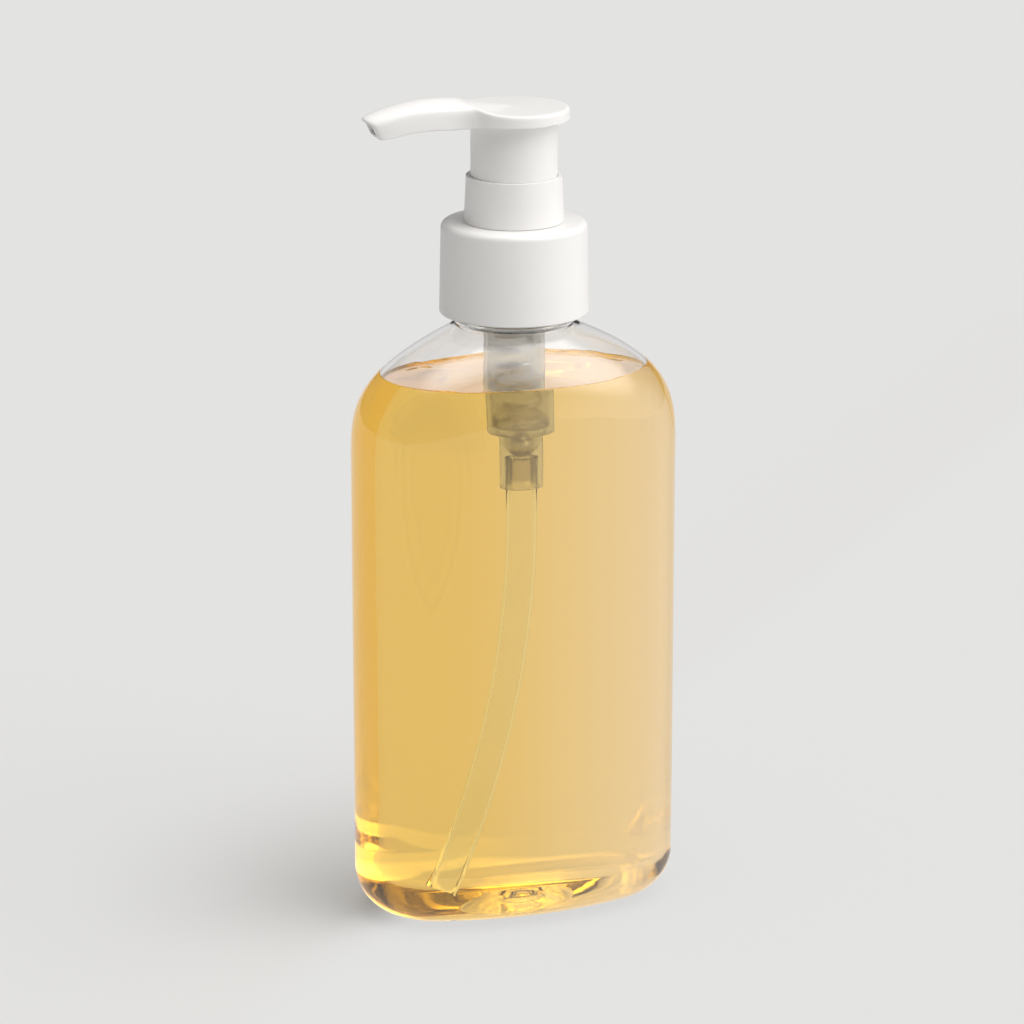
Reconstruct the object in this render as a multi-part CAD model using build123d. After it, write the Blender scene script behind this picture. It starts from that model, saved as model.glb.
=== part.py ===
from build123d import *
from math import asin, atan2, cos, hypot, radians, sin, tan
import os

# A pump bottle for hair serum, in millimetres. The origin is the middle of the base, on the
# neck's axis. +Z is up, the broad faces look along Y, and the nozzle points along -X.

# Bottle body: a flat oval of four tangent arcs
body_width = 62.4
body_depth = 35.8
face_meets_end_deg = 72.6
body_height = 90.3
shoulder_height = 23.9
shoulder_power = 3.0
heel_radius = 9.0
wall = 1.0
floor_wall = 1.6
push_up_height = 2.6
standing_ring_width = 2.4

# Bottle neck and the screw thread that it shares with the closure
neck_radius = 10.75
neck_bore_radius = 9.4
finish_height = 15.6
neck_bead_height = 1.0
neck_bead_proud = 0.45
thread_pitch = 3.175
thread_turns = 1.5
thread_depth = 1.1
thread_root_width = 1.25
thread_crest_width = 0.6
thread_clearance = 0.2
thread_bite = 0.3
thread_below_rim = 4.0

# Serum
fill_above_body = 13.9
serum_gap = 0.05

# Closure
closure_radius = 13.9
closure_draft = 0.35
closure_top_wall = 1.5
closure_foot_gap = 2.1
closure_edge_radius = 1.2
closure_foot_edge = 0.3

# Fits between pieces
running_gap = 0.07
seat_gap = 0.1
press_gap = 0.02

# Gasket and pump housing
gasket_thickness = 0.9
flange_radius = 10.7
flange_thickness = 1.1
cup_wall = 0.55
cup_depth = 2.2
cup_floor_wall = 1.2
chamber_radius = 5.75
chamber_wall = 1.0
chamber_length = 34.4
tail_radius = 3.75
tail_wall = 0.8
tail_length = 10.2
seat_height = 1.4
seat_throat_radius = 1.5
seat_throat_length = 0.6

# Dip tube
tube_radius = 2.7
tube_wall = 0.7
tube_socket_depth = 5.6
tube_straight = 11.4
tube_bend_radius = 190.0
tube_foot_gap = 1.1

# Collar
collar_height = 8.5
collar_top_wall = 0.73
collar_flare = 0.4
collar_neck_wall = 0.48
well_floor_wall = 0.9
guide_wall = 1.3
guide_rise = 1.6
guide_drop = 2.7

# Pump head
plate_radius = 10.2
plate_thickness = 2.3
plate_top_edge = 1.5
plate_foot_edge = 0.4
plate_gap = 1.1
skirt_wall = 0.85
skirt_in_collar = 2.0
socket_wall = 1.3
socket_drop = 8.0
socket_stop = 2.0
nozzle_reach = 30.1
nozzle_rise = 4.8
nozzle_root_width = 8.6
nozzle_tip_width = 6.2
nozzle_blend_radius = 9.0
nozzle_tip_corner = 1.2
nozzle_bore_radius = 1.25

# Stem, plug and piston
stem_radius = 2.9
stem_wall = 1.1
stem_ring_radius = 3.9
stem_ring_height = 0.8
lost_motion = 0.8
piston_height = 4.3
piston_lip_height = 0.9
piston_waist = 0.5
plug_flange_height = 1.3
plug_spigot_height = 3.2
plug_pip_height = 1.2
plug_pip_radius = 2.6

# Spring, ball and ball retainer
spring_radius = 3.55
spring_wire = 0.7
spring_turns = 8.5
retainer_height = 1.2
retainer_rim = 0.9
retainer_hub_radius = 1.1
retainer_spoke_width = 1.0
retainer_spokes = 3
ball_radius = 2.2
ball_gap = 0.03

# One overrun serves every cut
overrun = 2.0

# Heights that follow from the sizes above
fill_height = body_height + fill_above_body
neck_foot = body_height + shoulder_height
neck_top = neck_foot + finish_height
thread_start = neck_top - thread_below_rim - thread_pitch * thread_turns - thread_root_width / 2
flange_foot = neck_top + gasket_thickness
flange_top = flange_foot + flange_thickness
closure_foot = neck_foot + closure_foot_gap
closure_roof = flange_top + seat_gap
closure_top = closure_roof + closure_top_wall
cup_floor = flange_top - cup_depth
cup_foot = cup_floor - cup_floor_wall
chamber_foot = cup_foot - chamber_length
chamber_floor = chamber_foot + chamber_wall
tail_foot = chamber_foot - tail_length
socket_top = tail_foot + tube_socket_depth
seat_foot = socket_top + seat_throat_length
seat_top = seat_foot + seat_height
collar_base = closure_top + seat_gap
collar_top = collar_base + collar_height
skirt_foot = collar_top - skirt_in_collar
well_floor = cup_floor + well_floor_wall
guide_top = well_floor + guide_rise
guide_foot = cup_floor - guide_drop
stroke = skirt_foot - well_floor - seat_gap
head_foot = collar_top + stroke + plate_gap
head_top = head_foot + plate_thickness
stem_top = head_foot - socket_stop
ring_top = guide_foot - seat_gap
ring_foot = ring_top - stem_ring_height
piston_top = ring_foot - lost_motion
piston_foot = piston_top - piston_height
plug_top = piston_foot - press_gap
spring_top = plug_top - plug_flange_height
retainer_top = chamber_floor + retainer_height

# Radii that follow from the sizes above
thread_radius = neck_radius + thread_depth
closure_bore_radius = thread_radius + thread_clearance
chamber_bore = chamber_radius - chamber_wall
tail_bore = tail_radius - tail_wall
cup_radius = neck_bore_radius - 2 * seat_gap
cup_bore = cup_radius - cup_wall
collar_neck_radius = cup_bore - press_gap
collar_bore = collar_neck_radius - collar_neck_wall
closure_hole_radius = collar_neck_radius + running_gap
skirt_radius = collar_bore - running_gap
guide_bore = stem_radius + running_gap
stem_bore = stem_radius - stem_wall


def turned(points):
    """A solid of revolution about Z from a closed outline of (radius, height) points."""
    outline = Polyline(*[(radius, 0, height) for radius, height in points], close=True)
    return revolve(make_face(outline), Axis.Z)


def tube(outer, inner, low, high):
    return turned([(inner, low), (outer, low), (outer, high), (inner, high)])


def rod(radius, low, high):
    return Pos(0, 0, low) * Cylinder(radius, high - low, align=(Align.CENTER, Align.CENTER, Align.MIN))


def oval(half_width, half_depth, height):
    """A flat oval: two broad arcs and two end arcs, tangent where their normal has a fixed angle."""
    angle = radians(face_meets_end_deg)
    share = 1 / cos(angle) - tan(angle)
    end_radius = (half_depth - half_width * share) / (1 - share)
    meet_x = half_width - end_radius + end_radius * cos(angle)
    meet_y = end_radius * sin(angle)
    edges = [
        ThreePointArc((meet_x, -meet_y), (half_width, 0), (meet_x, meet_y)),
        ThreePointArc((meet_x, meet_y), (0, half_depth), (-meet_x, meet_y)),
        ThreePointArc((-meet_x, meet_y), (-half_width, 0), (-meet_x, -meet_y)),
        ThreePointArc((-meet_x, -meet_y), (0, -half_depth), (meet_x, -meet_y)),
    ]
    return Pos(0, 0, height) * make_face(edges)


def shoulder_section(inset, drop, top_radius, share):
    """The oval at a share of the way up the shoulder, which narrows to a circle at the neck."""
    half_width = body_width / 2 - inset
    half_depth = body_depth / 2 - inset
    half_width -= (half_width - top_radius) * share**shoulder_power
    half_depth -= (half_depth - top_radius) * share**shoulder_power
    return oval(half_width, half_depth, body_height + (shoulder_height - drop) * share)


def bottle_form(inset, floor, top_radius):
    """The body and shoulders as one solid, set in from the outside by inset."""
    base = oval(body_width / 2 - inset, body_depth / 2 - inset, floor)
    body = extrude(base, body_height - floor)
    heel_edges = body.edges().group_by(Axis.Z)[0]
    body = fillet(heel_edges, heel_radius - inset)
    height_shares = [0, 0.14, 0.28, 0.42, 0.56, 0.7, 0.82, 0.92, 1]
    sections = [shoulder_section(inset, inset, top_radius, share) for share in height_shares]
    return body + loft(sections)


def push_up(grown):
    """The shallow oval dome in the base, larger all round by grown."""
    half_width = body_width / 2 - heel_radius - standing_ring_width + grown
    half_depth = body_depth / 2 - heel_radius - standing_ring_width + grown
    return scale(Sphere(1), by=(half_width, half_depth, push_up_height + grown))


def cavity(inset, floor):
    """The space inside the bottle's body, over the push-up."""
    return bottle_form(inset, floor, neck_bore_radius + wall - inset) - push_up(floor)


def thread_ridge(base_radius, crest_radius, start_height):
    """One and a half turns of a right-handed trapezoid ridge, from base_radius to crest_radius."""
    root = thread_root_width / 2
    crest = thread_crest_width / 2
    bite = thread_bite if crest_radius > base_radius else -thread_bite
    path = Pos(0, 0, start_height) * Helix(thread_pitch, thread_pitch * thread_turns, base_radius)
    corners = [
        (base_radius - bite, 0, start_height - root),
        (crest_radius, 0, start_height - crest),
        (crest_radius, 0, start_height + crest),
        (base_radius - bite, 0, start_height + root),
    ]
    profile = make_face(Polyline(*corners, close=True))
    return sweep(profile, path=path, is_frenet=True)


def bottle():
    shell = bottle_form(0, 0, neck_radius)
    shell += rod(neck_radius, body_height + shoulder_height / 2, neck_top)
    bead_radius = neck_radius + neck_bead_proud
    shell += rod(bead_radius, neck_foot, neck_foot + neck_bead_height)
    shell += thread_ridge(neck_radius, thread_radius, thread_start)
    shell -= cavity(wall, floor_wall)
    shell -= rod(neck_bore_radius, neck_foot - wall, neck_top + overrun)
    return shell - push_up(0)


def tube_path(extra=0):
    """The dip tube's centre line: straight in its socket, then one long bend towards -X."""
    bend_top = socket_top - tube_straight
    foot_z = floor_wall + push_up_height + tube_foot_gap
    bend = asin((bend_top - foot_z) / tube_bend_radius)
    middle = bend / 2
    foot_x = -tube_bend_radius * (1 - cos(bend))
    straight = Line((0, 0, socket_top), (0, 0, bend_top))
    arc = ThreePointArc(
        (0, 0, bend_top),
        (-tube_bend_radius * (1 - cos(middle)), 0, bend_top - tube_bend_radius * sin(middle)),
        (foot_x, 0, foot_z),
    )
    path = [straight, arc]
    if extra:
        path.append(Line((foot_x, 0, foot_z), (foot_x - extra * sin(bend), 0, foot_z - extra * cos(bend))))
    return Wire(path)


def tube_core(radius, extra=0):
    """A solid rod of the given radius along the dip tube's centre line."""
    disc = Plane((0, 0, socket_top), z_dir=(0, 0, -1)) * Circle(radius)
    return sweep(disc, path=tube_path(extra))


def dip_tube():
    return tube_core(tube_radius) - tube_core(tube_radius - tube_wall, overrun)


def serum():
    """The liquid, round the housing and the dip tube, and standing in the tube's bore."""
    liquid = cavity(wall + serum_gap, floor_wall + serum_gap)
    above = Pos(0, 0, fill_height) * Box(
        2 * body_width, 2 * body_depth, body_height, align=(Align.CENTER, Align.CENTER, Align.MIN)
    )
    liquid -= above
    liquid -= rod(chamber_radius + serum_gap, chamber_foot - serum_gap, fill_height + overrun)
    liquid -= rod(tail_radius + serum_gap, tail_foot - serum_gap, fill_height)
    liquid -= tube_core(tube_radius + serum_gap, serum_gap)
    return liquid + tube_core(tube_radius - tube_wall - serum_gap, 2 * serum_gap)


def closure():
    crown = closure_radius - closure_draft
    shell = turned(
        [
            (closure_hole_radius, closure_roof),
            (closure_bore_radius, closure_roof),
            (closure_bore_radius, closure_foot),
            (closure_radius, closure_foot),
            (crown, closure_top),
            (closure_hole_radius, closure_top),
        ]
    )
    for end, radius in ((-1, closure_edge_radius), (0, closure_foot_edge)):
        rims = shell.edges().filter_by(GeomType.CIRCLE).group_by(Axis.Z)[end]
        shell = fillet(rims.sort_by(SortBy.RADIUS)[-1], radius)
    ridge_start = thread_start - thread_pitch / 2
    crest_radius = neck_radius + thread_clearance
    return shell + thread_ridge(closure_bore_radius, crest_radius, ridge_start)


def gasket():
    return tube(flange_radius, cup_radius + press_gap, neck_top, flange_foot)


def housing():
    return turned(
        [
            (cup_bore, flange_top),
            (flange_radius, flange_top),
            (flange_radius, flange_foot),
            (cup_radius, flange_foot),
            (cup_radius, cup_foot),
            (chamber_radius, cup_foot),
            (chamber_radius, chamber_foot),
            (tail_radius, chamber_foot),
            (tail_radius, tail_foot),
            (tube_radius + press_gap, tail_foot),
            (tube_radius + press_gap, socket_top),
            (seat_throat_radius, socket_top),
            (seat_throat_radius, seat_foot),
            (tail_bore, seat_top),
            (tail_bore, chamber_floor),
            (chamber_bore, chamber_floor),
            (chamber_bore, cup_floor),
            (cup_bore, cup_floor),
        ]
    )


def collar():
    """The sleeve round the head's skirt, with its well, its neck and the stem's guide."""
    top_radius = collar_bore + collar_top_wall
    return turned(
        [
            (collar_bore, collar_top),
            (top_radius, collar_top),
            (top_radius + collar_flare, collar_base),
            (collar_neck_radius, collar_base),
            (collar_neck_radius, cup_floor),
            (chamber_bore - press_gap, cup_floor),
            (chamber_bore - press_gap, guide_foot),
            (guide_bore, guide_foot),
            (guide_bore, guide_top),
            (guide_bore + guide_wall, guide_top),
            (guide_bore + guide_wall, well_floor),
            (collar_bore, well_floor),
        ]
    )


def nozzle_point(reach_share, rise_share):
    return (-nozzle_reach * reach_share, 0, head_foot + nozzle_rise * rise_share)


def nozzle_form():
    """The arched nozzle: its side outline, cut to its outline from above."""
    rise_shares = [(0, 0.42), (0.12, 0.59), (0.27, 0.8), (0.42, 0.93), (0.58, 1)]
    fall_shares = [(0.69, 0.86), (0.82, 0.61), (1, 0.25)]
    foot_shares = [(0.92, -0.48), (0.82, -0.39), (0.73, -0.27), (0.6, -0.11), (0.33, -0.14), (0.13, -0.17)]
    top = [nozzle_point(*share) for share in rise_shares + fall_shares]
    foot = [nozzle_point(*share) for share in foot_shares]
    side = make_face([Spline(*top), Line(top[-1], foot[0]), Spline(*foot), Line(foot[-1], top[0])])
    slab = extrude(side, plate_radius, both=True)
    plan_points = [
        (0, nozzle_root_width / 2),
        (-nozzle_reach, nozzle_tip_width / 2),
        (-nozzle_reach, -nozzle_tip_width / 2),
        (0, -nozzle_root_width / 2),
    ]
    plan = make_face(Polyline(*plan_points, close=True))
    tip_corners = plan.vertices().group_by(Axis.X)[0]
    plan = fillet(tip_corners, nozzle_tip_corner)
    plan += Circle(plate_radius)
    meetings = plan.vertices().filter_by(
        lambda v: abs(hypot(v.X, v.Y) - plate_radius) < nozzle_tip_corner and v.X < -nozzle_root_width / 2
    )
    plan = fillet(meetings, nozzle_blend_radius)
    column = extrude(Pos(0, 0, head_foot - nozzle_rise) * plan, 3 * nozzle_rise)
    return slab & column


def head():
    """Push plate, nozzle, skirt and stem socket, one moulding, with the serum's channel."""
    plate = rod(plate_radius, head_foot, head_top)
    rims = plate.edges().group_by(Axis.Z)
    plate = fillet(rims[-1], plate_top_edge)
    plate = fillet(plate.edges().group_by(Axis.Z)[0], plate_foot_edge)
    body = plate + nozzle_form()
    body += tube(skirt_radius, skirt_radius - skirt_wall, skirt_foot, head_foot + plate_foot_edge)
    socket_radius = stem_radius + socket_wall
    body += rod(socket_radius, head_foot - socket_drop, head_foot + plate_foot_edge)
    body -= rod(stem_radius + press_gap, head_foot - socket_drop - overrun, stem_top)
    channel_shares = [(0, 0.1), (0.25, 0.25), (0.58, 0.38), (0.8, 0.17), (1.05, -0.27)]
    channel = [nozzle_point(*share) for share in channel_shares]
    path = Spline(*channel)
    body -= rod(stem_bore, stem_top - overrun, channel[0][2])
    start = Plane(path @ 0, z_dir=path % 0)
    return body - sweep(start * Circle(nozzle_bore_radius), path=path)


def stem():
    """The hollow stem, with the ring that drives the piston and stops under the guide."""
    shaft = tube(stem_radius, stem_bore, plug_top, stem_top)
    return shaft + tube(stem_ring_radius, stem_bore, ring_foot, ring_top)


def piston():
    """A soft seal with a lip at each end and a waist between."""
    lip = chamber_bore - running_gap
    bore = stem_radius + running_gap
    waist = lip - piston_waist
    return turned(
        [
            (bore, piston_foot),
            (lip, piston_foot),
            (lip, piston_foot + piston_lip_height),
            (waist, piston_foot + 2 * piston_lip_height),
            (waist, piston_top - 2 * piston_lip_height),
            (lip, piston_top - piston_lip_height),
            (lip, piston_top),
            (bore, piston_top),
        ]
    )


def stem_plug():
    """The plug in the stem's foot: its flange carries the piston and rests on the spring."""
    plug = rod(stem_bore - press_gap, plug_top, plug_top + plug_spigot_height)
    plug += rod(stem_ring_radius, spring_top, plug_top)
    return plug + rod(plug_pip_radius, spring_top - plug_pip_height, spring_top)


def spring():
    low = retainer_top + spring_wire / 2 + press_gap
    high = spring_top - spring_wire / 2 - press_gap
    path = Pos(0, 0, low) * Helix((high - low) / spring_turns, high - low, spring_radius)
    start = Plane(path @ 0, z_dir=path % 0)
    return sweep(start * Circle(spring_wire / 2), path=path, is_frenet=True)


def ball_retainer():
    """A rim in the chamber's foot, with spokes and a hub that stop the ball."""
    rim_radius = chamber_bore - press_gap
    ring = tube(rim_radius, rim_radius - retainer_rim, chamber_floor, retainer_top)
    ring += rod(retainer_hub_radius, chamber_floor, retainer_top)
    spoke_length = rim_radius - retainer_rim / 2
    spoke = Box(
        spoke_length, retainer_spoke_width, retainer_height, align=(Align.MIN, Align.CENTER, Align.MIN)
    )
    for turn in range(retainer_spokes):
        ring += Pos(0, 0, chamber_floor) * Rot(0, 0, 360 / retainer_spokes * turn) * spoke
    return ring


def ball():
    """The check ball, resting in the cone of its seat."""
    flare = tail_bore - seat_throat_radius
    cone_angle = atan2(flare, seat_height)
    apex = seat_foot - seat_throat_radius / tan(cone_angle)
    return Pos(0, 0, apex + (ball_radius + ball_gap) / sin(cone_angle)) * Sphere(ball_radius)


pieces = [
    bottle, serum, closure, gasket, housing, collar, head,
    dip_tube, stem, piston, stem_plug, spring, ball_retainer, ball,
]

os.makedirs("parts", exist_ok=True)
for piece in pieces:
    solid = piece()
    solid.label = piece.__name__
    export_step(solid, f"parts/{piece.__name__}.step")
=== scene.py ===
import bpy
import bmesh
import math
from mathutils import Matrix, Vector


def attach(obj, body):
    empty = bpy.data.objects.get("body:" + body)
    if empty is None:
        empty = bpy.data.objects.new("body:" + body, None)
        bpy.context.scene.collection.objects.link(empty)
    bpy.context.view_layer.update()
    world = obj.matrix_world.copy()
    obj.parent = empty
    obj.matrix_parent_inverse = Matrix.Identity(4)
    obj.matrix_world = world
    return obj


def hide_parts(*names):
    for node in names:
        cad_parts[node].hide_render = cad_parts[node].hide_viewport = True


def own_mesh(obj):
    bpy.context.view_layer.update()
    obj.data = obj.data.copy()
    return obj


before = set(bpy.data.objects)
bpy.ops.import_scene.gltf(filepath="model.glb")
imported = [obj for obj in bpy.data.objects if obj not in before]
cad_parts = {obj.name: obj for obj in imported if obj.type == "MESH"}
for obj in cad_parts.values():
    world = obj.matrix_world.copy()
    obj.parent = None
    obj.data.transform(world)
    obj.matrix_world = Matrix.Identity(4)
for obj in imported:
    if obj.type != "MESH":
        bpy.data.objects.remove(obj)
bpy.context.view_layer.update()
bpy.ops.object.select_all(action="DESELECT")


# Camera: a long lens, a little above the bottle and turned towards the nozzle's side.
# The photograph is square and its middle is halfway up the bottle and pump.
view_turn = math.radians(18.2)
view_drop = math.radians(16.5)
view_distance = 0.846
aim_height = 0.07725
aim_aside = 0.00037
lens_length = 158.2
film_width = 36
view_limit = 20
away = Vector((-math.sin(view_turn), -math.cos(view_turn), 0)) * math.cos(view_drop)
away.z = math.sin(view_drop)
across = Vector((math.cos(view_turn), -math.sin(view_turn), 0))
aim = Vector((0, 0, aim_height)) - across * aim_aside
bpy.ops.object.camera_add(location=aim + away * view_distance)
camera = bpy.context.active_object
camera.rotation_euler = away.to_track_quat("Z", "Y").to_euler()
camera.data.lens = lens_length
camera.data.sensor_width = film_width
camera.data.clip_end = view_limit
bpy.context.scene.camera = camera
bpy.context.scene.view_settings.view_transform = "Standard"


def new_material(name, **settings):
    """A material whose Principled shader has these values on its own sockets."""
    material = bpy.data.materials.new(name)
    material.use_nodes = True
    shader = material.node_tree.nodes["Principled BSDF"]
    for socket, value in settings.items():
        shader.inputs[socket.replace("_", " ")].default_value = value
    return material


# Floor: a pale, seamless studio sheet, far larger than the view. The camera, and glass that it
# looks through, see part of it as an even glow: painted light that makes the bottle's shadow a light
# one, set by place on the floor so that the shadow is lightest on the side that the lamp is on.
floor_half = 6.0
floor_squares = 8
floor_gap = 0.00005
floor_colour = (0.64, 0.64, 0.635, 1)
backdrop_colour = (0.775, 0.775, 0.77, 1)
glow_share_in_shadow = 0.25
glow_share_lamp_side = 0.85
glow_share_in_glass = 0.85
lamp_side = (0.741, -0.672, 0)
glow_share_far = 0.65
shadow_far = -0.09
shadow_start = -0.027
shadow_end = -0.011
bpy.ops.mesh.primitive_grid_add(
    x_subdivisions=floor_squares, y_subdivisions=floor_squares, size=2 * floor_half,
    location=(0, 0, -floor_gap),
)
floor = bpy.context.active_object
floor.name = "floor"
floor.visible_glossy = False
sheet = new_material("studio_sheet", Base_Color=floor_colour, Roughness=1, Specular_IOR_Level=0)
nodes, links = sheet.node_tree.nodes, sheet.node_tree.links
glow = nodes.new("ShaderNodeEmission")
glow.inputs["Color"].default_value = backdrop_colour
ray = nodes.new("ShaderNodeLightPath")
towards_lamp = nodes.new("ShaderNodeVectorMath")
towards_lamp.operation = "DOT_PRODUCT"
links.new(nodes.new("ShaderNodeTexCoord").outputs["Object"], towards_lamp.inputs[0])
towards_lamp.inputs[1].default_value = lamp_side
most_glow = nodes.new("ShaderNodeMath")
most_glow.operation = "MAXIMUM"
# Painted light: the glow's share is lowest in the shadow beside the bottle and rises towards the lamp's side
# and far out, which lightens the shadow there.
for socket, start, end, start_share, end_share in (
    (0, shadow_start, shadow_end, glow_share_in_shadow, glow_share_lamp_side),
    (1, shadow_far, shadow_start, glow_share_far, glow_share_in_shadow),
):
    side_share = nodes.new("ShaderNodeMapRange")
    side_share.interpolation_type = "SMOOTHSTEP"
    side_share.inputs["From Min"].default_value = start
    side_share.inputs["From Max"].default_value = end
    side_share.inputs["To Min"].default_value = start_share
    side_share.inputs["To Max"].default_value = end_share
    links.new(towards_lamp.outputs["Value"], side_share.inputs["Value"])
    links.new(side_share.outputs["Result"], most_glow.inputs[socket])
share_to_camera = nodes.new("ShaderNodeMath")
share_to_camera.operation = "MULTIPLY"
links.new(ray.outputs["Is Camera Ray"], share_to_camera.inputs[0])
links.new(most_glow.outputs[0], share_to_camera.inputs[1])
share = nodes.new("ShaderNodeMath")
share.operation = "MULTIPLY_ADD"
links.new(ray.outputs["Is Transmission Ray"], share.inputs[0])
share.inputs[1].default_value = glow_share_in_glass
links.new(share_to_camera.outputs[0], share.inputs[2])
blend = nodes.new("ShaderNodeMixShader")
links.new(share.outputs[0], blend.inputs["Fac"])
links.new(nodes["Principled BSDF"].outputs[0], blend.inputs[1])
links.new(glow.outputs[0], blend.inputs[2])
links.new(blend.outputs[0], nodes["Material Output"].inputs["Surface"])
floor.data.materials.append(sheet)


# Light: a large softbox high on the right and towards the camera, one above, and a white card low on
# the right, in a dim room. All of it is in the world, so that nothing stands in the view, and glass
# shows a pale room.
world = bpy.data.worlds.new("studio")
bpy.context.scene.world = world
world.use_nodes = True
nodes, links = world.node_tree.nodes, world.node_tree.links
nodes.clear()
ray_way = nodes.new("ShaderNodeTexCoord").outputs["Generated"]


def studio_way(turn_right, height):
    """The direction that lies this far to the camera's right and this far up, in degrees."""
    turn = math.radians(turn_right)
    level = Vector((away.x, away.y, 0)).normalized()
    flat = level * math.cos(turn) + across * math.sin(turn)
    return flat * math.cos(math.radians(height)) + Vector((0, 0, math.sin(math.radians(height))))


def softbox(turn_right, height, half_angle, blur, strength):
    """A round source of this half angle in degrees, whose edge fades over blur degrees."""
    dot = nodes.new("ShaderNodeVectorMath")
    dot.operation = "DOT_PRODUCT"
    links.new(ray_way, dot.inputs[0])
    dot.inputs[1].default_value = studio_way(turn_right, height)
    edge = nodes.new("ShaderNodeMapRange")
    edge.interpolation_type = "SMOOTHSTEP"
    edge.inputs["From Min"].default_value = math.cos(math.radians(half_angle + blur))
    edge.inputs["From Max"].default_value = math.cos(math.radians(half_angle - blur))
    edge.inputs["To Max"].default_value = strength
    links.new(dot.outputs["Value"], edge.inputs["Value"])
    return edge.outputs["Result"]


def added(first, second):
    """The sum of two outputs of the world's nodes."""
    total = nodes.new("ShaderNodeMath")
    total.operation = "ADD"
    links.new(first, total.inputs[0])
    links.new(second, total.inputs[1])
    return total.outputs[0]


def switched(mask, plain_level, level):
    """A level that holds where the mask is 1, and the plain one elsewhere."""
    step = nodes.new("ShaderNodeMix")
    links.new(mask, step.inputs["Factor"])
    if isinstance(plain_level, float):
        step.inputs["A"].default_value = plain_level
    else:
        links.new(plain_level, step.inputs["A"])
    step.inputs["B"].default_value = level
    return step.outputs["Result"]


room_level = 0.16
glass_level = 0.87
below_level = 0.775
room_colour = (1, 0.99, 0.975, 1)
most_bounces = 32
glossy_bounces = 12
key_light = softbox(turn_right=71, height=48, half_angle=26, blur=12, strength=2.75)
top_light = softbox(turn_right=-10, height=78, half_angle=24, blur=12, strength=2.7)
low_card = softbox(turn_right=75, height=-16, half_angle=35, blur=30, strength=1.0)
heights = nodes.new("ShaderNodeSeparateXYZ")
links.new(ray_way, heights.inputs[0])
below = nodes.new("ShaderNodeMath")
below.operation = "LESS_THAN"
links.new(heights.outputs["Z"], below.inputs[0])
below.inputs[1].default_value = 0
ray = nodes.new("ShaderNodeLightPath")
upper_room = switched(ray.outputs["Is Transmission Ray"], room_level, glass_level)
whole_room = switched(below.outputs[0], upper_room, below_level)
room = nodes.new("ShaderNodeBackground")
links.new(added(added(key_light, top_light), added(low_card, whole_room)), room.inputs["Strength"])
room.inputs["Color"].default_value = room_colour
pale = nodes.new("ShaderNodeBackground")
pale.inputs["Color"].default_value = backdrop_colour
seen = nodes.new("ShaderNodeMixShader")
links.new(ray.outputs["Is Camera Ray"], seen.inputs["Fac"])
links.new(room.outputs[0], seen.inputs[1])
links.new(pale.outputs[0], seen.inputs[2])
out = nodes.new("ShaderNodeOutputWorld")
links.new(seen.outputs[0], out.inputs["Surface"])
bounces = bpy.context.scene.cycles
bounces.max_bounces = most_bounces
bounces.transmission_bounces = most_bounces
bounces.glossy_bounces = glossy_bounces


# Bottle: one clear blown PET shell with a wall of about a millimetre, a rounded heel, a pushed-up
# base and shoulders that narrow to a round screw neck.
body_half_width = 0.0312
body_half_depth = 0.0179
end_radius = 0.0155
face_radius = (body_half_width**2 - 2 * body_half_width * end_radius + body_half_depth**2) / (
    2 * (body_half_depth - end_radius)
)
end_angle = math.atan2(face_radius - body_half_depth, body_half_width - end_radius)
body_top = 0.0903
shoulder_top = 0.1142
neck_radius = 0.01075
shoulder_fullness = 3
heel_radius = 0.009
bottle_wall = 0.001
arc_steps = 24
shoulder_rings = 18
heel_rings = 14


def start_piece(name, point):
    """A new mesh in edit mode, with one vertex at a point and nothing else."""
    bpy.ops.object.select_all(action="DESELECT")
    bpy.ops.mesh.primitive_plane_add(size=0.01, enter_editmode=True)
    bpy.ops.mesh.select_mode(type="VERT")
    bpy.ops.mesh.merge(type="CENTER")
    bpy.ops.transform.translate(value=point)
    piece = bpy.context.active_object
    piece.name = name
    return piece


def select_in_edit(chosen, mode="VERT"):
    """In edit mode, selects the vertices, edges or faces that a test chooses, and returns how many."""
    mesh = bpy.context.edit_object.data
    bpy.ops.mesh.select_mode(type=mode)
    bpy.ops.mesh.select_all(action="DESELECT")
    cage = bmesh.from_edit_mesh(mesh)
    elements = {"VERT": cage.verts, "EDGE": cage.edges, "FACE": cage.faces}[mode]
    found = [element for element in elements if chosen(element)]
    for element in found:
        element.select_set(True)
    cage.select_flush_mode()
    bmesh.update_edit_mesh(mesh)
    return len(found)


def finish_edit(smooth_angle=35):
    """Leaves edit mode with one set of faces, all pointing outwards, smooth but for sharp edges."""
    bpy.ops.mesh.select_all(action="SELECT")
    bpy.ops.mesh.remove_doubles(threshold=0.000005)
    bpy.ops.mesh.normals_make_consistent(inside=False)
    bpy.ops.object.mode_set(mode="OBJECT")
    bpy.ops.object.shade_smooth_by_angle(angle=math.radians(smooth_angle))


def apply_modifier(piece, kind, **settings):
    """Adds a modifier with these settings and applies it."""
    bpy.ops.object.select_all(action="DESELECT")
    piece.select_set(True)
    bpy.context.view_layer.objects.active = piece
    modifier = piece.modifiers.new(kind.lower(), kind)
    for setting, value in settings.items():
        setattr(modifier, setting, value)
    bpy.ops.object.modifier_apply(modifier=modifier.name)


def spin_selected(angle, steps, centre, axis):
    """Turns what is selected about an axis and leaves a surface behind, the right-handed way round."""
    bpy.ops.mesh.spin(angle=-angle, steps=steps, center=centre, axis=axis)


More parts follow.
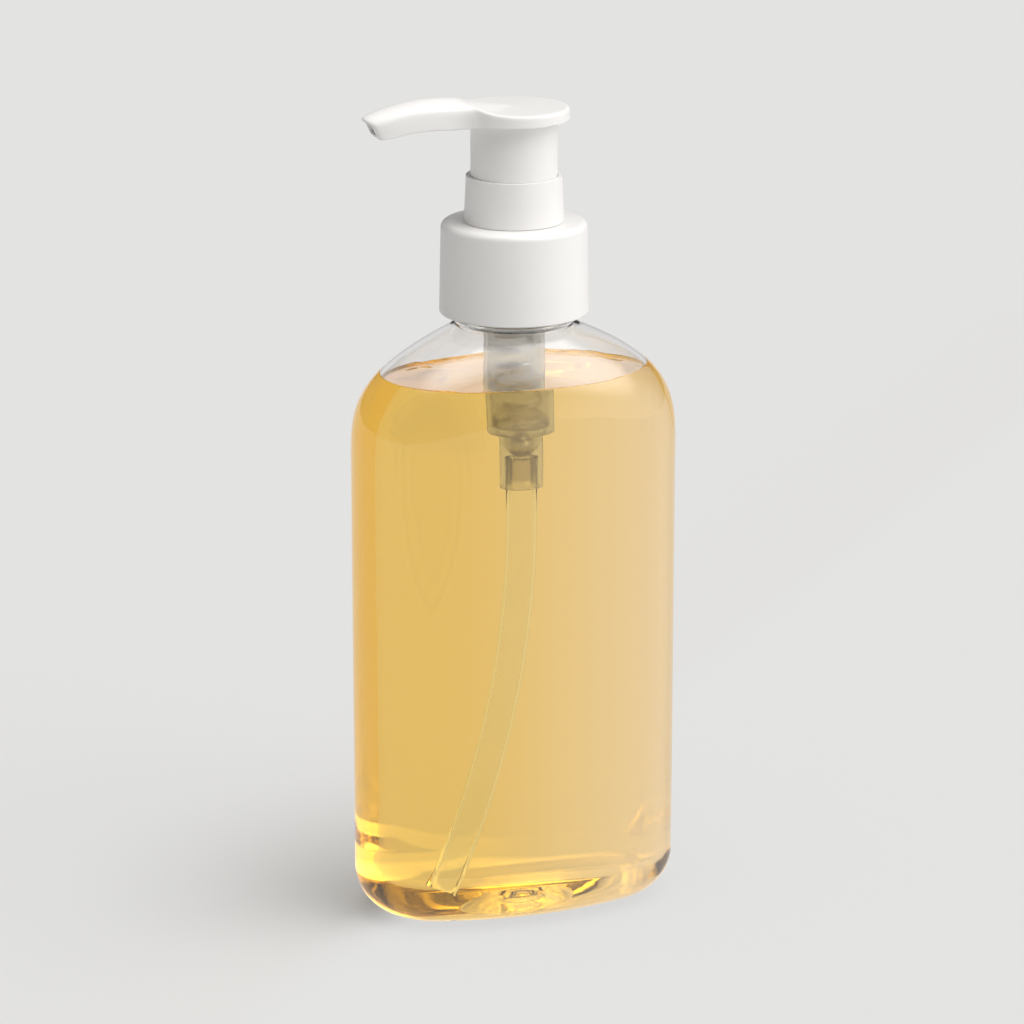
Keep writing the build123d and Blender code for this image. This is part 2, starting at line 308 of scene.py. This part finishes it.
bottle = start_piece("bottle_shell", (body_half_width, 0, body_top))
side_centre = body_half_width - end_radius
face_centre = body_half_depth - face_radius
face_angle = math.pi - 2 * end_angle
spin_selected(end_angle, arc_steps // 2, (side_centre, 0, 0), (0, 0, 1))
spin_selected(face_angle, arc_steps, (0, face_centre, 0), (0, 0, 1))
spin_selected(2 * end_angle, arc_steps, (-side_centre, 0, 0), (0, 0, 1))
spin_selected(face_angle, arc_steps, (0, -face_centre, 0), (0, 0, 1))
spin_selected(end_angle, arc_steps // 2, (side_centre, 0, 0), (0, 0, 1))
bpy.ops.mesh.select_all(action="SELECT")
bpy.ops.mesh.remove_doubles(threshold=0.00002)

# The wall runs down to the base, whose edge is rounded into the heel
bpy.ops.mesh.extrude_region_move(TRANSFORM_OT_translate={"value": (0, 0, -body_top)})
bpy.ops.mesh.edge_face_add()
bpy.ops.mesh.select_all(action="SELECT")
bpy.ops.mesh.normals_make_consistent(inside=False)
near = 0.00001
select_in_edit(lambda e: all(abs(v.co.z) < near for v in e.verts), "EDGE")
bpy.ops.mesh.bevel(
    offset=heel_radius, offset_type="OFFSET", segments=heel_rings, profile=0.5, clamp_overlap=False
)

# The pushed-up base: a flat standing ring, then a shallow oval dome with two moulded rings
standing_ring = 0.0024
# Each ring's size as a share of the standing ring's, and its rise as a share of the dome's height
dome_shares = [
    (0.965, 0.16), (0.92, 0.32), (0.86, 0.48), (0.79, 0.6), (0.755, 0.64), (0.735, 0.72), (0.71, 0.74),
    (0.6, 0.82), (0.45, 0.9), (0.32, 0.95), (0.24, 0.97), (0.215, 1.0), (0.185, 0.9), (0.1, 0.88),
]
dome_height = 0.0026
select_in_edit(lambda f: f.normal.z < -0.999 and len(f.verts) > 8, "FACE")
bpy.ops.mesh.inset(thickness=standing_ring / 2)
bpy.ops.mesh.inset(thickness=standing_ring / 2)
size_before, height_before = 1, 0
for size_share, height_share in dome_shares:
    bpy.ops.mesh.extrude_region_move(
        TRANSFORM_OT_translate={"value": (0, 0, (height_share - height_before) * dome_height)}
    )
    change = size_share / size_before
    bpy.ops.transform.resize(value=(change, change, 1), center_override=(0, 0, 0))
    size_before, height_before = size_share, height_share

# The shoulders: rings between the body's oval and the neck's circle, each drawn to its width and depth
select_in_edit(lambda v: abs(v.co.z - body_top) < near)
bpy.ops.mesh.select_mode(type="EDGE")
bpy.ops.mesh.primitive_circle_add(vertices=4 * arc_steps, radius=neck_radius, location=(0, 0, shoulder_top))
select_in_edit(lambda e: e.is_boundary or e.is_wire, "EDGE")
bpy.ops.mesh.bridge_edge_loops(number_cuts=shoulder_rings, interpolation="LINEAR")
for ring in range(1, shoulder_rings + 1):
    share = ring / (shoulder_rings + 1)
    height = body_top + (shoulder_top - body_top) * share
    select_in_edit(lambda v: abs(v.co.z - height) < near)
    cage = bmesh.from_edit_mesh(bottle.data)
    places = [v.co for v in cage.verts if v.select]
    half_width = body_half_width - (body_half_width - neck_radius) * share**shoulder_fullness
    half_depth = body_half_depth - (body_half_depth - neck_radius) * share**shoulder_fullness
    wider = half_width / max(place.x for place in places)
    deeper = half_depth / max(place.y for place in places)
    bpy.ops.transform.resize(value=(wider, deeper, 1), center_override=(0, 0, height))

# The neck, with its bead and a plain top
# Radius and height of each ring
neck_outline = [
    (0.01075, 0.1144), (0.01112, 0.1146), (0.0112, 0.11475), (0.0112, 0.11515), (0.01112, 0.1153),
    (0.01075, 0.11545), (0.01075, 0.1175), (0.01075, 0.1293), (0.01068, 0.12965), (0.0105, 0.1298),
]
select_in_edit(lambda e: e.is_boundary, "EDGE")
radius_before, height_before = neck_radius, shoulder_top
for radius, height in neck_outline:
    bpy.ops.mesh.extrude_region_move(TRANSFORM_OT_translate={"value": (0, 0, height - height_before)})
    change = radius / radius_before
    bpy.ops.transform.resize(value=(change, change, 1), center_override=(0, 0, height))
    radius_before, height_before = radius, height
finish_edit()


# Serum: a clear amber oil that fills the bottle to the lower shoulder and creeps up the wall a
# little. Its skin lies just inside the wall, so that no air shows between the two.
fill_height = 0.1043
creep = 0.0008
creep_steps = ((0.00025, 0.00035), (0.00035, 0.00025), (0.0005, 0.00015), (0.0008, 0.00005), (0.0012, 0))
wall_overlap = 0.00015
serum_colour = (0.965, 0.79, 0.5, 1)
serum_tint = (1, 0.7, 0.24, 1)
# The paler tint is painted light: how the liquid looks on the lamp's side, towards +X.
serum_tint_painted_light = (0.99, 0.78, 0.62, 1)
painted_light_from = -0.02
painted_light_to = 0.034
tinted_crossings = 4.5
absorb_colour = (0.998, 0.86, 0.04, 1)
absorb_density = 22
level_normal = 0.9
bpy.ops.object.select_all(action="DESELECT")
bottle.select_set(True)
bpy.context.view_layer.objects.active = bottle
bpy.ops.object.duplicate()
serum = bpy.context.active_object
serum.name = "serum_liquid"
bpy.ops.object.mode_set(mode="EDIT")
bpy.ops.mesh.select_all(action="SELECT")
bpy.ops.transform.shrink_fatten(value=-(bottle_wall - wall_overlap), use_even_offset=True)
bpy.ops.mesh.bisect(
    plane_co=(0, 0, fill_height + creep), plane_no=(0, 0, 1), use_fill=True, clear_outer=True
)
select_in_edit(lambda f: f.normal.z > 0.99 and f.calc_center_median().z > fill_height, "FACE")
for inset, sink in creep_steps:
    bpy.ops.mesh.inset(thickness=inset, depth=-sink)
finish_edit(smooth_angle=50)
apply_modifier(serum, "SUBSURF", levels=1, render_levels=1, use_limit_surface=False)
serum_shader = new_material(
    "serum", Base_Color=serum_colour, Roughness=0, IOR=1.40, Transmission_Weight=1, Coat_IOR=2.2,
    Coat_Roughness=0,
)
nodes, links = serum_shader.node_tree.nodes, serum_shader.node_tree.links
absorb = nodes.new("ShaderNodeVolumeAbsorption")
absorb.inputs["Color"].default_value = absorb_colour
absorb.inputs["Density"].default_value = absorb_density
links.new(absorb.outputs[0], nodes["Material Output"].inputs["Volume"])
# Painted light: the tint pales across the bottle towards +X, the side that the key lamp lights, as a painted
# veil of that lamp's light.
object_point = nodes.new("ShaderNodeTexCoord").outputs["Object"]
across_bottle = nodes.new("ShaderNodeSeparateXYZ")
links.new(object_point, across_bottle.inputs[0])
painted_light_place = nodes.new("ShaderNodeMapRange")
painted_light_place.interpolation_type = "SMOOTHSTEP"
painted_light_place.inputs["From Min"].default_value = painted_light_from
painted_light_place.inputs["From Max"].default_value = painted_light_to
links.new(across_bottle.outputs["X"], painted_light_place.inputs["Value"])
# A colour mix has its two colours at inputs 6 and 7, and their blend at output 2
tint = nodes.new("ShaderNodeMix")
tint.data_type = "RGBA"
links.new(painted_light_place.outputs["Result"], tint.inputs["Factor"])
tint.inputs[6].default_value = serum_tint
tint.inputs[7].default_value = serum_tint_painted_light
# Light is tinted where it first goes in and out, and not again each time that the wall turns it back
first_crossings = nodes.new("ShaderNodeMath")
first_crossings.operation = "LESS_THAN"
links.new(nodes.new("ShaderNodeLightPath").outputs["Transmission Depth"], first_crossings.inputs[0])
first_crossings.inputs[1].default_value = tinted_crossings
clear_after = nodes.new("ShaderNodeMix")
clear_after.data_type = "RGBA"
links.new(first_crossings.outputs[0], clear_after.inputs["Factor"])
clear_after.inputs[6].default_value = (1, 1, 1, 1)
links.new(tint.outputs[2], clear_after.inputs[7])
links.new(clear_after.outputs[2], nodes["Principled BSDF"].inputs["Base Color"])
# The liquid's level surface, seen at a low angle, mirrors the pale room behind it
outward = nodes.new("ShaderNodeSeparateXYZ")
links.new(nodes.new("ShaderNodeTexCoord").outputs["Normal"], outward.inputs[0])
level_top = nodes.new("ShaderNodeMath")
level_top.operation = "GREATER_THAN"
level_top.inputs[1].default_value = level_normal
links.new(outward.outputs["Z"], level_top.inputs[0])
links.new(level_top.outputs[0], nodes["Principled BSDF"].inputs["Coat Weight"])
serum.data.materials.append(serum_shader)
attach(serum, "root")
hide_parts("serum")

# The bottle gets its wall and its material once the liquid has been taken from its shell
apply_modifier(bottle, "SOLIDIFY", thickness=bottle_wall, offset=-1, use_even_offset=True)
apply_modifier(bottle, "SUBSURF", levels=1, render_levels=1, use_limit_surface=False)


def moulded_finish(material, grain, depth, rough=(), shade=0.0):
    """Adds a moulded part's surface: bumps of this size and depth, uneven gloss and uneven shade."""
    gloss_from, gloss_to, shade_scale = 0.3, 0.7, 90
    nodes, links = material.node_tree.nodes, material.node_tree.links
    shader = nodes["Principled BSDF"]
    point = nodes.new("ShaderNodeTexCoord").outputs["Object"]
    fine = nodes.new("ShaderNodeTexNoise")
    fine.inputs["Scale"].default_value = 1 / grain
    fine.inputs["Detail"].default_value = 3
    links.new(point, fine.inputs["Vector"])
    bump = nodes.new("ShaderNodeBump")
    bump.inputs["Distance"].default_value = depth
    links.new(fine.outputs["Fac"], bump.inputs["Height"])
    links.new(bump.outputs["Normal"], shader.inputs["Normal"])
    if rough:
        gloss = nodes.new("ShaderNodeMapRange")
        gloss.inputs["From Min"].default_value = gloss_from
        gloss.inputs["From Max"].default_value = gloss_to
        gloss.inputs["To Min"].default_value, gloss.inputs["To Max"].default_value = rough
        links.new(fine.outputs["Fac"], gloss.inputs["Value"])
        links.new(gloss.outputs["Result"], shader.inputs["Roughness"])
    if shade:
        broad = nodes.new("ShaderNodeTexNoise")
        broad.inputs["Scale"].default_value = shade_scale
        links.new(point, broad.inputs["Vector"])
        tone = nodes.new("ShaderNodeMix")
        tone.data_type = "RGBA"
        colour = shader.inputs["Base Color"].default_value
        tone.inputs[6].default_value = colour
        tone.inputs[7].default_value = [part * (1 - shade) for part in colour[:3]] + [1]
        links.new(broad.outputs["Fac"], tone.inputs["Factor"])
        links.new(tone.outputs[2], shader.inputs["Base Color"])
    return material


clear_pet = new_material(
    "clear_pet", Base_Color=(1, 1, 1, 1), Roughness=0.015, IOR=1.5, Transmission_Weight=1
)
moulded_finish(clear_pet, grain=0.012, depth=0.00004)
bottle.data.materials.append(clear_pet)
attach(bottle, "root")
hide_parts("bottle")


# Head: one white polypropylene moulding. The round push plate runs into a long, gently arched
# nozzle, and under the plate are the skirt and the socket that the stem is pressed into.
head_foot = 0.1525
cage_growth = 1.010
plate_radius = 0.0102 * cage_growth
plate_sides = 24
plate_rows = (0.0003, 0.0012, 0.0023)
# Rings on the plate's top: how far in from the last, and how much higher
plate_rings = ((0.0012, 0), (0.0016, 0.00006), (0.003, 0.00004))
# From the plate outwards: x of the side edges, bow of the end, half width, height of the top's edges
# above the plate's foot, height of its crown above them, underside, how far the foot stays back, and
# how far the crown reaches out
nozzle_stations = [
    (-0.0087, 0.0018, 0.0057, 0.00295, 0.00125, -0.00035, 0, 0),
    (-0.0104, 0.0008, 0.0048, 0.00305, 0.00145, -0.0006, 0, 0),
    (-0.0128, 0, 0.00435, 0.0031, 0.0016, -0.00068, 0, 0),
    (-0.0158, 0, 0.0042, 0.0031, 0.00165, -0.0006, 0, 0),
    (-0.0186, 0, 0.0040, 0.0030, 0.00168, -0.00065, 0, 0),
    (-0.0212, 0, 0.0038, 0.00265, 0.0016, -0.0010, 0.0001, 0.0001),
    (-0.0236, 0, 0.0036, 0.0020, 0.00165, -0.0014, 0.0004, 0.0005),
    (-0.0257, 0, 0.00335, 0.00135, 0.00155, -0.0018, 0.0008, 0.0011),
    (-0.0276, 0, 0.00305, 0.00073, 0.00122, -0.00205, 0.0012, 0.0018),
]
# How far the plate's rim and rings rise towards the nozzle, at its edges and more at its middle
ridge_rises = (
    (0.0103, 0.0004, 0.0013), (0.0091, 0.00035, 0.0012), (0.0075, 0.00025, 0.001), (0.0045, 0.0001, 0.00055),
)
ring_reach = 0.0004
plate_face = head_foot + 0.002
# The rings under the plate that stay sharp lie within this radius and this far above the plate's foot
sharp_radius = 0.0084
sharp_height = 0.0006
# Steps into the mouth: how much narrower, how far inwards and how far up
nozzle_mouth = ((0.66, 0, 0), (0.94, 0.0002, 0.00008), (0.9, 0.002, 0.001), (0.9, 0.003, 0.0016))
skirt_steps = [
    ("inset", 0.0004), ("inset", 0.00175), ("down", 0.0125), ("inset", 0.00085), ("up", 0.0125),
    ("inset", 0.003), ("down", 0.008), ("inset", 0.0013), ("up", 0.006), ("inset", 0.0011), ("up", 0.0024),
]
bpy.ops.object.select_all(action="DESELECT")
bpy.ops.mesh.primitive_circle_add(
    vertices=plate_sides, radius=plate_radius, fill_type="NGON", location=(0, 0, head_foot)
)
head = bpy.context.active_object
head.name = "pump_head"
bpy.ops.object.transform_apply(location=True)
bpy.ops.object.mode_set(mode="EDIT")
bpy.ops.mesh.select_all(action="SELECT")
row_before = 0
for row in plate_rows:
    bpy.ops.mesh.extrude_region_move(TRANSFORM_OT_translate={"value": (0, 0, row - row_before)})
    row_before = row
for ring, rise in plate_rings:
    bpy.ops.mesh.inset(thickness=ring)
    bpy.ops.transform.translate(value=(0, 0, rise))


def selected_points():
    """The numbers of the vertices that are selected in edit mode, which the next extrusion changes."""
    cage = bmesh.from_edit_mesh(bpy.context.edit_object.data)
    cage.verts.index_update()
    return {v.index for v in cage.verts if v.select}


def move_points(chosen, value):
    """Moves the vertices that a test chooses."""
    if select_in_edit(chosen):
        bpy.ops.transform.translate(value=value)


# The three columns of faces on each side of the middle, towards -X, are where the nozzle starts
root_angle = math.radians(45)
root_columns = 3
for ring, edge_rise, crown_rise in ridge_rises:
    for column in range(root_columns + 2):
        turn = root_angle * column / root_columns
        rise = edge_rise / 2 if column > root_columns else edge_rise
        rise += crown_rise * max(0, 1 - (math.sin(turn) / math.sin(root_angle)) ** 2)
        ridge_x, ridge_y = -ring * cage_growth * math.cos(turn), ring * cage_growth * math.sin(turn)
        move_points(
            lambda v: v.co.z > plate_face and v.co.x < 0
            and abs(v.co.x - ridge_x) < ring_reach and abs(abs(v.co.y) - ridge_y) < ring_reach,
            (0, 0, rise),
        )

# The nozzle: the side faces towards -X are drawn out from station to station
side_before = -plate_radius * math.cos(root_angle)
bow_before = plate_radius + side_before
edge_before, crown_before = plate_rows[-1] + ridge_rises[0][1], ridge_rises[0][2]
rows_top = edge_before
width_before, foot_before, slant_before, reach_before = -side_before, 0, 0, 0
select_in_edit(lambda f: abs(f.normal.z) < 0.3 and f.calc_center_median().x < side_before, "FACE")
for side, bow, width, edge, crown, foot, slant, reach in nozzle_stations:
    bpy.ops.mesh.extrude_region_move(TRANSFORM_OT_translate={"value": (0, 0, 0)})
    station = selected_points()
    taller = (edge - foot) / (edge_before - foot_before)
    bpy.ops.transform.resize(
        value=(bow / bow_before if bow_before else 1, width / width_before, taller),
        center_override=(side_before, 0, head_foot + foot_before),
    )
    bpy.ops.transform.translate(value=(side - side_before, 0, foot - foot_before))
    below_top = head_foot + edge - near
    for row in (0, *plate_rows[:-1]):
        level = head_foot + foot + (edge - foot) * row / rows_top
        move_points(
            lambda v: v.index in station and abs(v.co.z - level) < near,
            ((slant - slant_before) * (1 - row / rows_top), 0, 0),
        )
    for column in range(root_columns):
        across_share = math.sin(root_angle * column / root_columns) / math.sin(root_angle)
        move_points(
            lambda v: v.index in station and v.co.z > below_top
            and abs(abs(v.co.y) - width * across_share) < near,
            Vector((reach_before - reach, 0, crown - crown_before * taller)) * (1 - across_share**2),
        )
    select_in_edit(lambda f: all(v.index in station for v in f.verts), "FACE")
    side_before, bow_before, width_before, edge_before = side, bow, width, edge
    crown_before, foot_before, slant_before, reach_before = crown, foot, slant, reach
mouth_x = side_before + (slant_before - reach_before) / 2
mouth_centre = Vector((mouth_x, 0, head_foot + (edge_before + crown_before + foot_before) / 2))
bpy.ops.mesh.dissolve_faces()
for narrower, inwards, up in nozzle_mouth:
    bpy.ops.mesh.extrude_region_move(TRANSFORM_OT_translate={"value": (inwards, 0, up)})
    mouth_centre += Vector((inwards, 0, up))
    bpy.ops.transform.resize(value=(narrower, narrower, narrower), center_override=mouth_centre)

# Under the plate: the skirt, which slides in the collar, and the stem's socket inside it
select_in_edit(lambda f: f.normal.z < -0.999 and len(f.verts) == plate_sides, "FACE")
for way, amount in skirt_steps:
    if way == "inset":
        bpy.ops.mesh.inset(thickness=amount)
    else:
        bpy.ops.mesh.extrude_region_move(
            TRANSFORM_OT_translate={"value": (0, 0, amount if way == "up" else -amount)}
        )
select_in_edit(
    lambda e: all(v.co.xy.length < sharp_radius and v.co.z < head_foot + sharp_height for v in e.verts)
    and abs(e.verts[0].co.z - e.verts[1].co.z) < near
    and abs(e.verts[0].co.xy.length - e.verts[1].co.xy.length) < near,
    "EDGE",
)
bpy.ops.transform.edge_crease(value=1)
finish_edit()
apply_modifier(head, "SUBSURF", levels=3, render_levels=3, use_limit_surface=False)
white_pump = moulded_finish(
    new_material("white_pump", Base_Color=(0.86, 0.85, 0.84, 1), IOR=1.49),
    grain=0.0006, depth=0.000008, rough=(0.34, 0.44), shade=0.03,
)
head.data.materials.append(white_pump)
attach(head, "head")
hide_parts("head")


# Dip tube: a clear polyethylene tube, pushed into the housing's tail. It keeps the bend of the coil
# that it was cut from, so that its foot reaches the lower corner of the bottle.
tube_radius = 0.0027
tube_wall = 0.0007
tube_top = 0.0894
tube_bend_top = 0.078
tube_bend_radius = 0.190
tube_bend = math.radians(22.5)
tube_sides = 32
tube_rings = 28
bpy.ops.object.select_all(action="DESELECT")
bpy.ops.mesh.primitive_circle_add(vertices=tube_sides, radius=tube_radius, location=(0, 0, tube_top))
dip_tube = bpy.context.active_object
dip_tube.name = "dip_tube_clear"
bpy.ops.object.transform_apply(location=True)
bpy.ops.object.mode_set(mode="EDIT")
bpy.ops.mesh.select_all(action="SELECT")
bpy.ops.mesh.extrude_region_move(TRANSFORM_OT_translate={"value": (0, 0, tube_bend_top - tube_top)})
spin_selected(tube_bend, tube_rings, (-tube_bend_radius, 0, tube_bend_top), (0, 1, 0))
finish_edit(smooth_angle=60)
apply_modifier(dip_tube, "SOLIDIFY", thickness=tube_wall, offset=-1, use_even_offset=True)
tube_clear = new_material("clear_tube", Base_Color=(0.99, 0.94, 0.82, 1), IOR=1.08, Transmission_Weight=1)
moulded_finish(tube_clear, grain=0.002, depth=0.00002, rough=(0.08, 0.16), shade=0.04)
dip_tube.data.materials.append(tube_clear)
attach(dip_tube, "pump")
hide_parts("dip_tube")


# Spring: bright stainless wire in the chamber, between the ball's retainer and the stem's plug. It
# is squeezed as the head goes down.
spring_foot = 0.0962
spring_turns = 8.5
spring_radius = 0.00355
wire_radius = 0.00035
spring_length = 0.0233351 - 2 * wire_radius
wire_sides = 10
spring_steps = 240
bpy.ops.object.select_all(action="DESELECT")
bpy.ops.mesh.primitive_circle_add(
    vertices=wire_sides, radius=wire_radius, location=(spring_radius, 0, spring_foot + wire_radius),
    rotation=(math.pi / 2, 0, 0),
)
spring = bpy.context.active_object
spring.name = "return_spring"
bpy.ops.object.transform_apply(location=True, rotation=True)
apply_modifier(
    spring, "SCREW", angle=2 * math.pi * spring_turns, screw_offset=spring_length, steps=spring_steps,
    render_steps=spring_steps, use_smooth_shade=True, use_merge_vertices=True,
)
bpy.ops.object.mode_set(mode="EDIT")
select_in_edit(lambda e: e.is_boundary, "EDGE")
bpy.ops.mesh.edge_face_add()
finish_edit(smooth_angle=50)
steel = new_material("spring_steel", Base_Color=(0.7, 0.7, 0.72, 1), Metallic=1)
moulded_finish(steel, grain=0.0002, depth=0.000003, rough=(0.18, 0.32), shade=0.06)
spring.data.materials.append(steel)
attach(spring, "pump")
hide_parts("spring")
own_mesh(spring)


# Screw thread: a ridge of one and a half turns round the neck, of the bottle's own plastic, which
# the closure's thread runs on.
thread_pitch = 0.003175
thread_turns = 1.5
thread_start = 0.12041
thread_radius = 0.01185
runout_radius = 0.01072
# Radius and height of the ridge's corners
thread_outline = ((0.0107, -0.000625), (thread_radius, -0.0003), (thread_radius, 0.0003), (0.0107, 0.000625))
thread_steps = 72
thread_runout = 8
thread = start_piece("neck_thread", (thread_outline[0][0], 0, thread_start + thread_outline[0][1]))
radius_before, height_before = thread_outline[0]
for radius, height in thread_outline[1:]:
    bpy.ops.mesh.extrude_region_move(
        TRANSFORM_OT_translate={"value": (radius - radius_before, 0, height - height_before)}
    )
    radius_before, height_before = radius, height
bpy.ops.mesh.select_all(action="SELECT")
bpy.ops.mesh.edge_face_add()
bpy.ops.mesh.delete(type="ONLY_FACE")
bpy.ops.object.mode_set(mode="OBJECT")
apply_modifier(
    thread, "SCREW", angle=2 * math.pi * thread_turns, screw_offset=thread_pitch * thread_turns,
    steps=thread_steps, render_steps=thread_steps, use_merge_vertices=True,
)
bpy.ops.object.mode_set(mode="EDIT")
select_in_edit(lambda e: e.is_boundary, "EDGE")
bpy.ops.mesh.edge_face_add()
# Both ends run out into the neck
for end_turn, way in ((0, 1), (2 * math.pi * thread_turns, -1)):
    for step in range(thread_runout):
        turn = end_turn + way * step * 2 * math.pi * thread_turns / thread_steps
        level = thread_start + thread_pitch * turn / (2 * math.pi)
        place = Vector((math.cos(turn), math.sin(turn), 0))
        found = select_in_edit(
            lambda v: v.co.xy.length > 0.0113 and abs(v.co.z - level) < 0.0005
            and (v.co.xy.normalized() - place.xy).length < 0.02
        )
        if found:
            full_share = math.sin(math.pi / 2 * step / thread_runout)
            shrink = (runout_radius + (thread_radius - runout_radius) * full_share) / thread_radius
            bpy.ops.transform.resize(value=(shrink, shrink, 1), center_override=(0, 0, level))
finish_edit(smooth_angle=40)
thread.data.materials.append(clear_pet)
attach(thread, "root")


# The other pump parts keep their CAD shapes: the white closure, collar, stem and plug of satin
# polypropylene, the milky housing and ball retainer, the soft piston and gasket, and the steel ball.
white_closure = moulded_finish(
    new_material("white_closure", Base_Color=(0.85, 0.84, 0.83, 1), IOR=1.49),
    grain=0.0008, depth=0.00001, rough=(0.36, 0.46), shade=0.03,
)
milky = moulded_finish(
    new_material("milky_barrel", Base_Color=(0.99, 0.975, 0.95, 1), IOR=1.06, Transmission_Weight=0.75),
    grain=0.001, depth=0.00002, rough=(0.35, 0.45), shade=0.03,
)
soft_piston = moulded_finish(
    new_material("soft_piston", Base_Color=(0.9, 0.89, 0.87, 1), IOR=1.5),
    grain=0.0004, depth=0.00001, rough=(0.5, 0.62), shade=0.04,
)
soft_gasket = moulded_finish(
    new_material("soft_gasket", Base_Color=(0.9, 0.9, 0.88, 1), IOR=1.45),
    grain=0.00025, depth=0.00004, rough=(0.7, 0.9), shade=0.08,
)
for node, material in (
    ("closure", white_closure), ("collar", white_pump), ("stem", white_pump), ("stem_plug", white_pump),
    ("piston", soft_piston), ("gasket", soft_gasket), ("housing", milky), ("ball_retainer", milky),
    ("ball", steel),
):
    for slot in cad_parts[node].material_slots:
        slot.material = material
